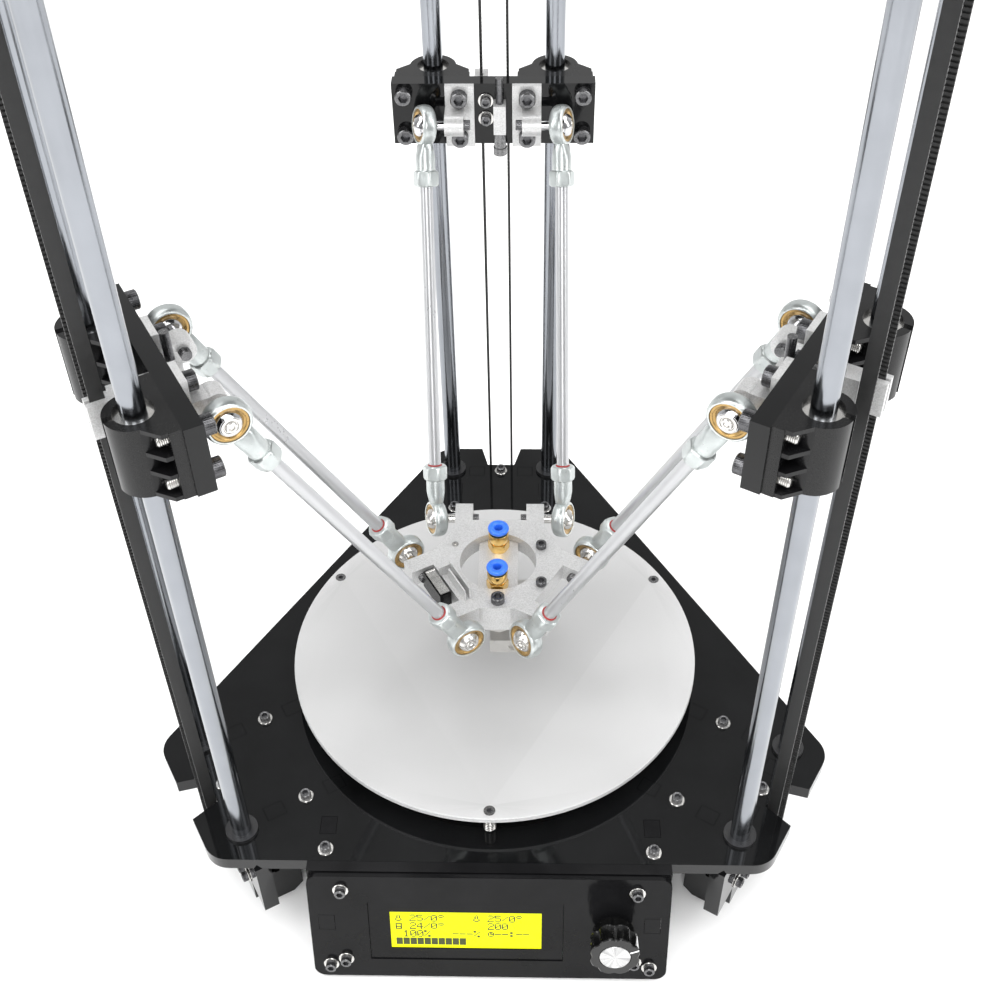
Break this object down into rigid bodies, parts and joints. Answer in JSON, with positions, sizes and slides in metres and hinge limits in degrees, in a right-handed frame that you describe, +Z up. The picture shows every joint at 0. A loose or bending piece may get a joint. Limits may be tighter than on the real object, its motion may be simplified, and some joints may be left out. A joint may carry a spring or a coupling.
{
  "type": "delta 3-D printer",
  "caption": "Delta 3-D printer: acrylic base and top plates, paired steel rods at each tower, belt-driven carriages, ball-jointed arms, round bed, and a tilted display panel with a knob.",
  "frame": {"origin": "centre of the print surface, on the round bed's top face", "axes": "+Z up along the towers, +Y from the display panel towards the back tower, +X to the right as seen from the panel"},
  "size_m": [0.3536, 0.3491, 0.5681],
  "materials": {
    "black_acrylic": "glossy",
    "black_plastic": "satin",
    "motor_steel": "satin",
    "polished_steel": "polished",
    "belt_rubber": "matte",
    "zinc_steel": "satin",
    "satin_aluminium": "satin",
    "black_screws": "satin",
    "board_laminate": "satin",
    "brass": "polished"
  },
  "bodies": {
    "frame": {"base_plate": "black_acrylic", "top_plate": "black_acrylic", "motor_plates": "black_acrylic", "leg_gussets": "black_acrylic", "stepper_motors": "motor_steel", "guide_rods": "polished_steel", "rod_collars": "black_plastic", "drive_belts": "belt_rubber", "idler_brackets": "zinc_steel", "endstop_switches": "black_plastic", "bed_plate": "satin_aluminium", "bed_heater": "board_laminate", "bed_springs": "black_screws", "lcd_panel": "black_acrylic", "panel_brackets": "black_acrylic", "lcd_module": "board_laminate", "control_board": "board_laminate", "frame_screws": "black_screws"},
    "carriage_back": {"carriage_plate_back": "black_acrylic", "bearing_housings_back": "black_plastic", "linear_bearings_back": "polished_steel", "rod_brackets_back": "satin_aluminium", "belt_clamp_back": "satin_aluminium", "carriage_fasteners_back": "black_screws"},
    "carriage_left": {"carriage_plate_left": "black_acrylic", "bearing_housings_left": "black_plastic", "linear_bearings_left": "polished_steel", "rod_brackets_left": "satin_aluminium", "belt_clamp_left": "satin_aluminium", "carriage_fasteners_left": "black_screws"},
    "carriage_right": {"carriage_plate_right": "black_acrylic", "bearing_housings_right": "black_plastic", "linear_bearings_right": "polished_steel", "rod_brackets_right": "satin_aluminium", "belt_clamp_right": "satin_aluminium", "carriage_fasteners_right": "black_screws"},
    "effector": {"effector_plate": "satin_aluminium", "hotend_bridge": "satin_aluminium", "hotends": "satin_aluminium", "push_fittings": "brass", "probe_switch": "black_plastic", "effector_fasteners": "zinc_steel"},
    "arm_back_right": {"arm_back_right": "zinc_steel"},
    "arm_back_left": {"arm_back_left": "zinc_steel"},
    "arm_left_rear": {"arm_left_rear": "zinc_steel"},
    "arm_left_front": {"arm_left_front": "zinc_steel"},
    "arm_right_front": {"arm_right_front": "zinc_steel"},
    "arm_right_rear": {"arm_right_rear": "zinc_steel"},
    "drive_pulley_back": {"drive_pulley_back": "satin_aluminium"},
    "idler_pulley_back": {"idler_pulley_back": "satin_aluminium"},
    "drive_pulley_left": {"drive_pulley_left": "satin_aluminium"},
    "idler_pulley_left": {"idler_pulley_left": "satin_aluminium"},
    "drive_pulley_right": {"drive_pulley_right": "satin_aluminium"},
    "idler_pulley_right": {"idler_pulley_right": "satin_aluminium"},
    "endstop_lever_back": {"endstop_lever_back": "zinc_steel"},
    "endstop_lever_left": {"endstop_lever_left": "zinc_steel"},
    "endstop_lever_right": {"endstop_lever_right": "zinc_steel"},
    "probe_lever": {"probe_lever": "zinc_steel"},
    "encoder_shaft": {"encoder_shaft": "polished_steel"},
    "knob": {"knob": "black_plastic"}
  },
  "joints": [
    {"name": "carriage_back_slide", "type": "slide", "parent": "frame", "child": "carriage_back", "axis": [0, 0, 1], "range_m": [-0.0151, 0.186]},
    {"name": "carriage_left_slide", "type": "slide", "parent": "frame", "child": "carriage_left", "axis": [0, 0, 1], "range_m": [-0.0151, 0.186]},
    {"name": "carriage_right_slide", "type": "slide", "parent": "frame", "child": "carriage_right", "axis": [0, 0, 1], "range_m": [-0.0151, 0.186]},
    {"name": "effector_lift", "type": "slide", "parent": "frame", "child": "effector", "axis": [0, 0, 1], "range_m": [-0.0151, 0.186]},
    {"name": "arm_back_right_twist", "type": "hinge", "parent": "carriage_back", "child": "arm_back_right", "pos_m": [0.0344, 0.131, 0.24864], "axis": [0.0145, -0.4552, -0.8903], "range_deg": [-12, 12]},
    {"name": "arm_back_left_twist", "type": "hinge", "parent": "carriage_back", "child": "arm_back_left", "pos_m": [-0.0344, 0.131, 0.24864], "axis": [0.0145, -0.4552, -0.8903], "range_deg": [-12, 12]},
    {"name": "arm_left_rear_twist", "type": "hinge", "parent": "carriage_left", "child": "arm_left_rear", "pos_m": [-0.13065, -0.03571, 0.24731], "axis": [0.4087, 0.2276, -0.8838], "range_deg": [-12, 12]},
    {"name": "arm_left_front_twist", "type": "hinge", "parent": "carriage_left", "child": "arm_left_front", "pos_m": [-0.09625, -0.09529, 0.24731], "axis": [0.4087, 0.2276, -0.8838], "range_deg": [-12, 12]},
    {"name": "arm_right_front_twist", "type": "hinge", "parent": "carriage_right", "child": "arm_right_front", "pos_m": [0.09625, -0.09529, 0.24996], "axis": [-0.3797, 0.2276, -0.8967], "range_deg": [-12, 12]},
    {"name": "arm_right_rear_twist", "type": "hinge", "parent": "carriage_right", "child": "arm_right_rear", "pos_m": [0.13065, -0.03571, 0.24996], "axis": [-0.3797, 0.2276, -0.8967], "range_deg": [-12, 12]},
    {"name": "drive_pulley_back_turn", "type": "hinge", "parent": "frame", "child": "drive_pulley_back", "pos_m": [0, 0.172, -0.0553], "axis": [0, 1, 0], "range_deg": [-136, 1675]},
    {"name": "idler_pulley_back_turn", "type": "hinge", "parent": "frame", "child": "idler_pulley_back", "pos_m": [0, 0.172, 0.4547], "axis": [0, 1, 0], "range_deg": [-136, 1675]},
    {"name": "drive_pulley_left_turn", "type": "hinge", "parent": "frame", "child": "drive_pulley_left", "pos_m": [-0.14896, -0.086, -0.0553], "axis": [-0.866, -0.5, 0], "range_deg": [-136, 1675]},
    {"name": "idler_pulley_left_turn", "type": "hinge", "parent": "frame", "child": "idler_pulley_left", "pos_m": [-0.14896, -0.086, 0.4547], "axis": [-0.866, -0.5, 0], "range_deg": [-136, 1675]},
    {"name": "drive_pulley_right_turn", "type": "hinge", "parent": "frame", "child": "drive_pulley_right", "pos_m": [0.14896, -0.086, -0.0553], "axis": [0.866, -0.5, 0], "range_deg": [-136, 1675]},
    {"name": "idler_pulley_right_turn", "type": "hinge", "parent": "frame", "child": "idler_pulley_right", "pos_m": [0.14896, -0.086, 0.4547], "axis": [0.866, -0.5, 0], "range_deg": [-136, 1675]},
    {"name": "endstop_lever_back_press", "type": "hinge", "parent": "frame", "child": "endstop_lever_back", "pos_m": [0.0118, 0.1405, 0.45805], "axis": [0, 1, 0], "range_deg": [0, 4], "stiffness_Nm_per_rad": 0.02, "springref_deg": -5.73},
    {"name": "endstop_lever_left_press", "type": "hinge", "parent": "frame", "child": "endstop_lever_left", "pos_m": [-0.12758, -0.06003, 0.45805], "axis": [-0.866, -0.5, 0], "range_deg": [0, 4], "stiffness_Nm_per_rad": 0.02, "springref_deg": -5.73},
    {"name": "endstop_lever_right_press", "type": "hinge", "parent": "frame", "child": "endstop_lever_right", "pos_m": [0.11578, -0.08047, 0.45805], "axis": [0.866, -0.5, 0], "range_deg": [0, 4], "stiffness_Nm_per_rad": 0.02, "springref_deg": -5.73},
    {"name": "probe_lever_press", "type": "hinge", "parent": "effector", "child": "probe_lever", "pos_m": [-0.03181, -0.00971, 0.07215], "axis": [0.866, 0.5, 0], "range_deg": [0, 2], "stiffness_Nm_per_rad": 0.02, "springref_deg": -5.73},
    {"name": "knob_push", "type": "slide", "parent": "frame", "child": "encoder_shaft", "axis": [0, 0.9728, -0.2317], "range_m": [0, 0.0005], "stiffness_N_per_m": 2000, "springref_m": -0.0005},
    {"name": "knob_turn", "type": "hinge", "parent": "encoder_shaft", "child": "knob", "pos_m": [0.0625, -0.14217, -0.04546], "axis": [0, -0.9728, 0.2317], "continuous": true}
  ],
  "couplings": [
    {"joint": "carriage_left_slide", "follows": "carriage_back_slide", "ratio": 1},
    {"joint": "carriage_right_slide", "follows": "carriage_back_slide", "ratio": 1},
    {"joint": "effector_lift", "follows": "carriage_back_slide", "ratio": 1},
    {"joint": "drive_pulley_back_turn", "follows": "carriage_back_slide", "rad_per_m": 157.09},
    {"joint": "idler_pulley_back_turn", "follows": "carriage_back_slide", "rad_per_m": 157.09},
    {"joint": "drive_pulley_left_turn", "follows": "carriage_back_slide", "rad_per_m": 157.09},
    {"joint": "idler_pulley_left_turn", "follows": "carriage_back_slide", "rad_per_m": 157.09},
    {"joint": "drive_pulley_right_turn", "follows": "carriage_back_slide", "rad_per_m": 157.09},
    {"joint": "idler_pulley_right_turn", "follows": "carriage_back_slide", "rad_per_m": 157.09}
  ]
}
